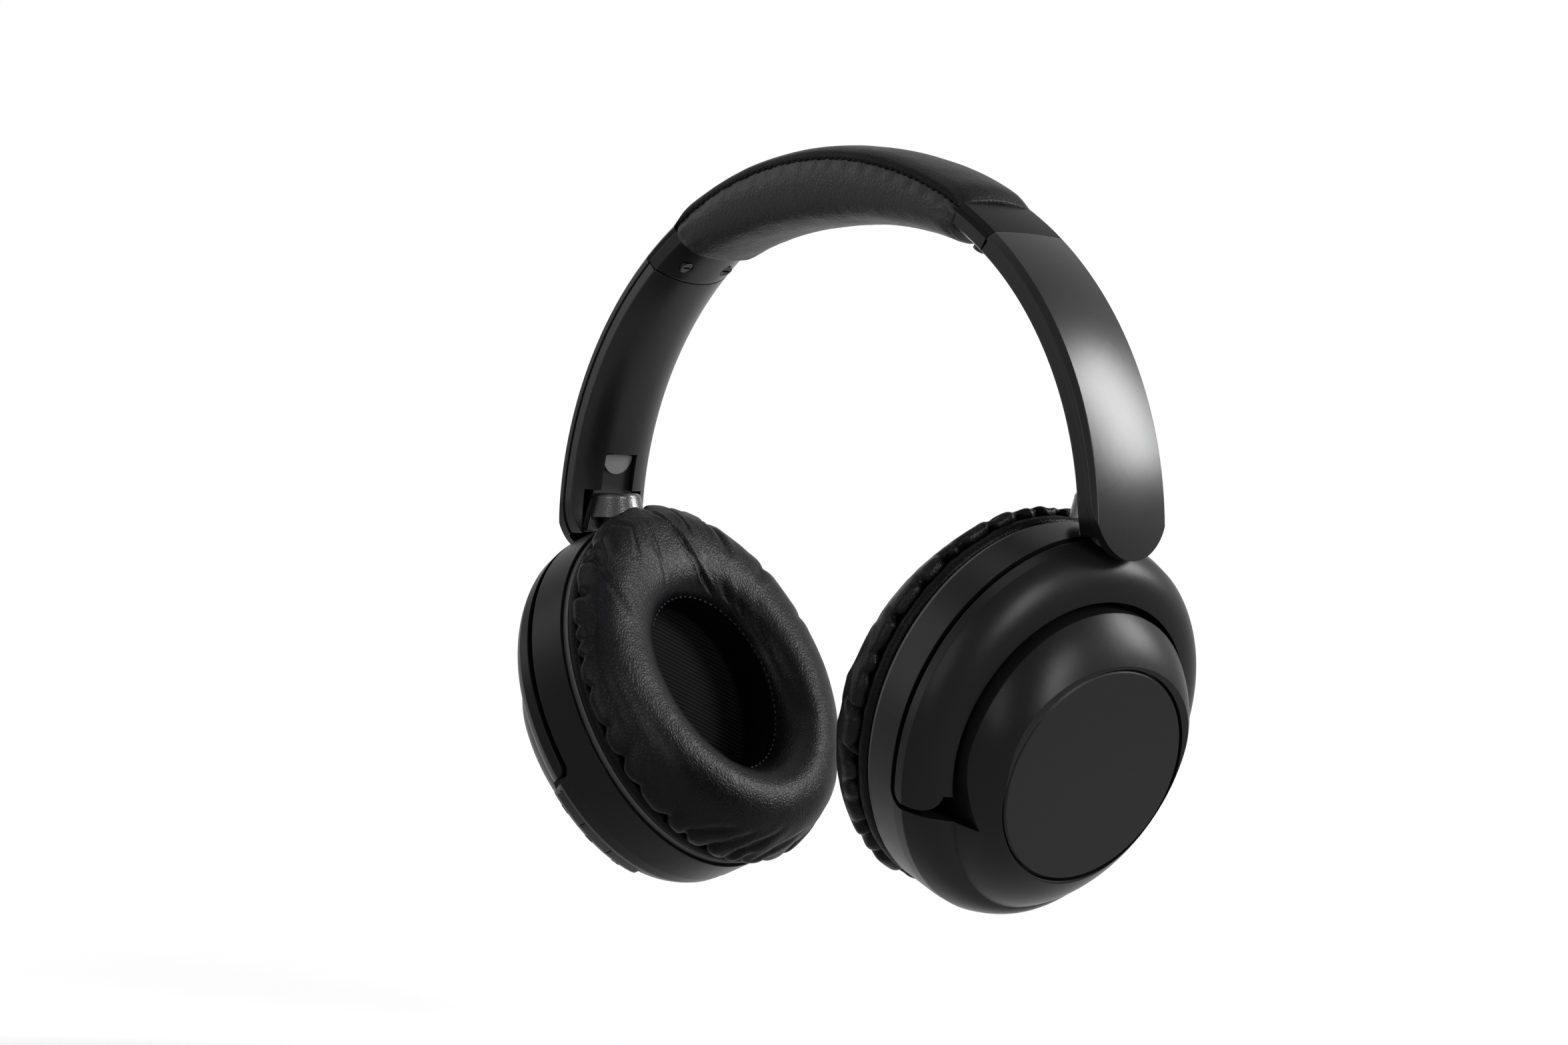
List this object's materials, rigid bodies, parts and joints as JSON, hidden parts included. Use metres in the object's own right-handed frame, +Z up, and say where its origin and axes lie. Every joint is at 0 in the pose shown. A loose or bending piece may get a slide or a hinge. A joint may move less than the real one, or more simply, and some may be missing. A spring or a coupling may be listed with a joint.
{
  "type": "over ear headphones",
  "caption": "Over-ear headphones with a padded headband, curved sliding arms, half-ring yokes, oval closed cups with soft leather cushions and a row of edge keys.",
  "frame": {"origin": "centre of the headband arc, near the middle of the wearer's head", "axes": "+Z up towards the crown, +Y the way the wearer faces, +X towards the cup at the wearer's right ear"},
  "size_m": [0.1852, 0.0863, 0.1814],
  "materials": {
    "arm_plastic": "satin",
    "baffle_plastic": "matte",
    "band_leather": "grained",
    "battery_wrap": "shrink wrap",
    "black_screw": "blackened",
    "board_laminate": "solder mask",
    "cap_plastic": "fine matte",
    "diaphragm_film": "thin film",
    "driver_frame": "matte",
    "gloss_grain_plastic": "grained gloss",
    "housing_plastic": "soft-touch",
    "key_rubber": "soft-touch",
    "mark_patch": "satin",
    "pad_cloth": "ribbed",
    "pad_leather": "soft grain",
    "pin_steel": "ground",
    "rivet_steel": "satin",
    "satin_plastic": "satin",
    "slider_steel": "satin",
    "socket_nylon": "moulded",
    "socket_shell": "drawn",
    "spring_steel": "rolled"
  },
  "bodies": {
    "headband": {"headband_spring": "spring_steel", "headband_top_cover": "band_leather", "headband_cushion": "band_leather", "collar_outer_R": "satin_plastic", "collar_inner_R": "satin_plastic", "collar_screws_R": "black_screw", "arm_outer_R": "arm_plastic", "arm_inner_R": "satin_plastic", "collar_outer_L": "satin_plastic", "collar_inner_L": "satin_plastic", "collar_screws_L": "black_screw", "arm_outer_L": "arm_plastic", "arm_inner_L": "satin_plastic"},
    "slider_right": {"slider_plate_R": "slider_steel", "slider_rivets_R": "rivet_steel", "side_mark_R": "mark_patch", "knuckle_R": "gloss_grain_plastic"},
    "yoke_right": {"yoke_R": "housing_plastic", "tilt_pins_R": "pin_steel", "swivel_screw_R": "black_screw"},
    "cup_right": {"front_housing_R": "housing_plastic", "rear_housing_R": "housing_plastic", "housing_screws_R": "black_screw", "cap_disc_R": "cap_plastic", "baffle_R": "baffle_plastic", "driver_R": "driver_frame", "diaphragm_R": "diaphragm_film", "grille_cloth_R": "pad_cloth", "pad_ring_R": "baffle_plastic", "ear_pad_R": "pad_leather", "battery_R": "battery_wrap"},
    "slider_left": {"slider_plate_L": "slider_steel", "slider_rivets_L": "rivet_steel", "side_mark_L": "mark_patch", "knuckle_L": "gloss_grain_plastic"},
    "yoke_left": {"yoke_L": "housing_plastic", "tilt_pins_L": "pin_steel", "swivel_screw_L": "black_screw"},
    "cup_left": {"front_housing_L": "housing_plastic", "rear_housing_L": "housing_plastic", "housing_screws_L": "black_screw", "cap_disc_L": "cap_plastic", "baffle_L": "baffle_plastic", "driver_L": "driver_frame", "diaphragm_L": "diaphragm_film", "grille_cloth_L": "pad_cloth", "pad_ring_L": "baffle_plastic", "ear_pad_L": "pad_leather", "main_board_L": "board_laminate", "audio_socket_L": "socket_nylon", "charging_socket_L": "socket_shell"},
    "key_minus": {"button_minus_L": "key_rubber"},
    "key_main": {"button_main_L": "key_rubber"},
    "key_plus": {"button_plus_L": "key_rubber"}
  },
  "joints": [
    {"name": "slider_extend_right", "type": "hinge", "parent": "headband", "child": "slider_right", "pos_m": [0, 0, 0], "axis": [0, 1, 0], "range_deg": [0, 15]},
    {"name": "swivel_right", "type": "hinge", "parent": "slider_right", "child": "yoke_right", "pos_m": [0.082, 0, 0], "axis": [0, 0, 1], "range_deg": [-12, 12]},
    {"name": "tilt_right", "type": "hinge", "parent": "yoke_right", "child": "cup_right", "pos_m": [0.0633, -0.00067, -0.05665], "axis": [-0.0906, -0.9959, 0], "range_deg": [-1.2, 12]},
    {"name": "slider_extend_left", "type": "hinge", "parent": "headband", "child": "slider_left", "pos_m": [0, 0, 0], "axis": [0, -1, 0], "range_deg": [0, 15]},
    {"name": "swivel_left", "type": "hinge", "parent": "slider_left", "child": "yoke_left", "pos_m": [-0.082, 0, 0], "axis": [0, 0, -1], "range_deg": [-12, 12]},
    {"name": "tilt_left", "type": "hinge", "parent": "yoke_left", "child": "cup_left", "pos_m": [-0.0633, -0.00067, -0.05665], "axis": [-0.0906, 0.9959, 0], "range_deg": [-1.2, 12]},
    {"name": "press_minus", "type": "slide", "parent": "cup_left", "child": "key_minus", "axis": [0.9247, 0.0842, 0.3714], "range_m": [0, 0.0006], "stiffness_N_per_m": 3000},
    {"name": "press_main", "type": "slide", "parent": "cup_left", "child": "key_main", "axis": [0.9247, 0.0842, 0.3714], "range_m": [0, 0.0006], "stiffness_N_per_m": 3000},
    {"name": "press_plus", "type": "slide", "parent": "cup_left", "child": "key_plus", "axis": [0.9247, 0.0842, 0.3714], "range_m": [0, 0.0006], "stiffness_N_per_m": 3000}
  ]
}
